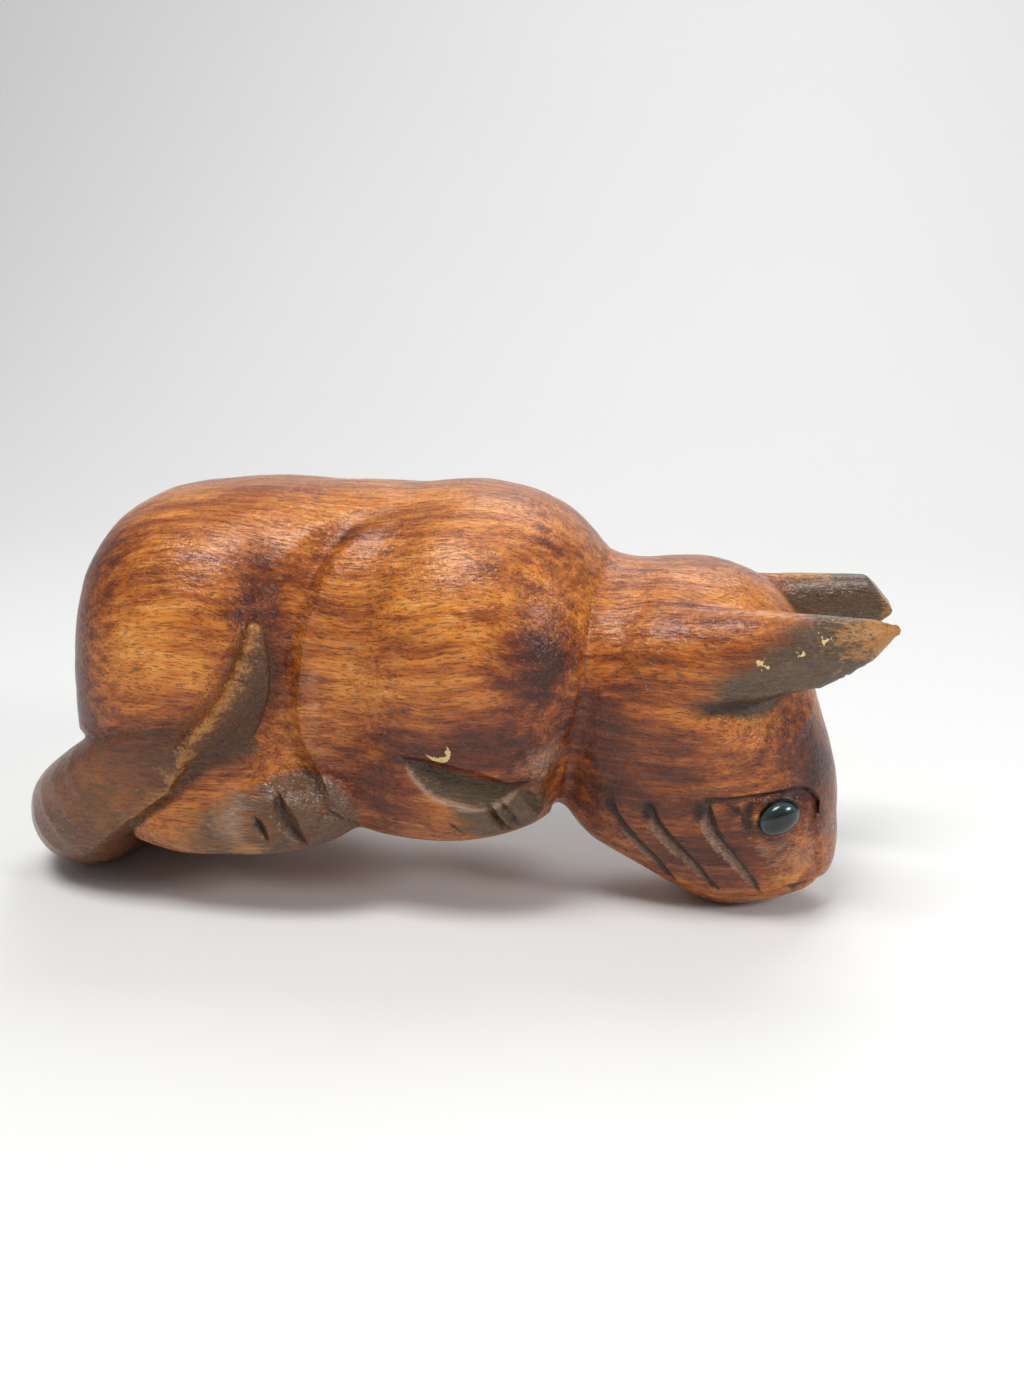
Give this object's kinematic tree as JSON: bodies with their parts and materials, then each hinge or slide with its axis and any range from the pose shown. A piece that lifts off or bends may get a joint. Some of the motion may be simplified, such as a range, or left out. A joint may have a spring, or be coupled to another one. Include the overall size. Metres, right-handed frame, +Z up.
{
  "type": "wooden cat sculpture",
  "caption": "Carved wooden cat crouching with its head bent down, resting on the bend of its tail and its chin, with glass eyes set in bored sockets.",
  "frame": {"origin": "on the table, under the middle of the cat's length and width", "axes": "+X towards the cat's head and ears, +Y towards the cat's left side, +Z up"},
  "size_m": [0.2373, 0.0952, 0.1127],
  "materials": {
    "stained_wood": "orange-brown stained and varnished wood with darker grey-brown ears, tail and paws, worn to ochre on the edges",
    "eye_glass": "dark glossy glass with a blue-grey rim"
  },
  "bodies": {
    "root": {"cat": "stained_wood", "right_eye": "eye_glass", "left_eye": "eye_glass"}
  },
  "joints": []
}
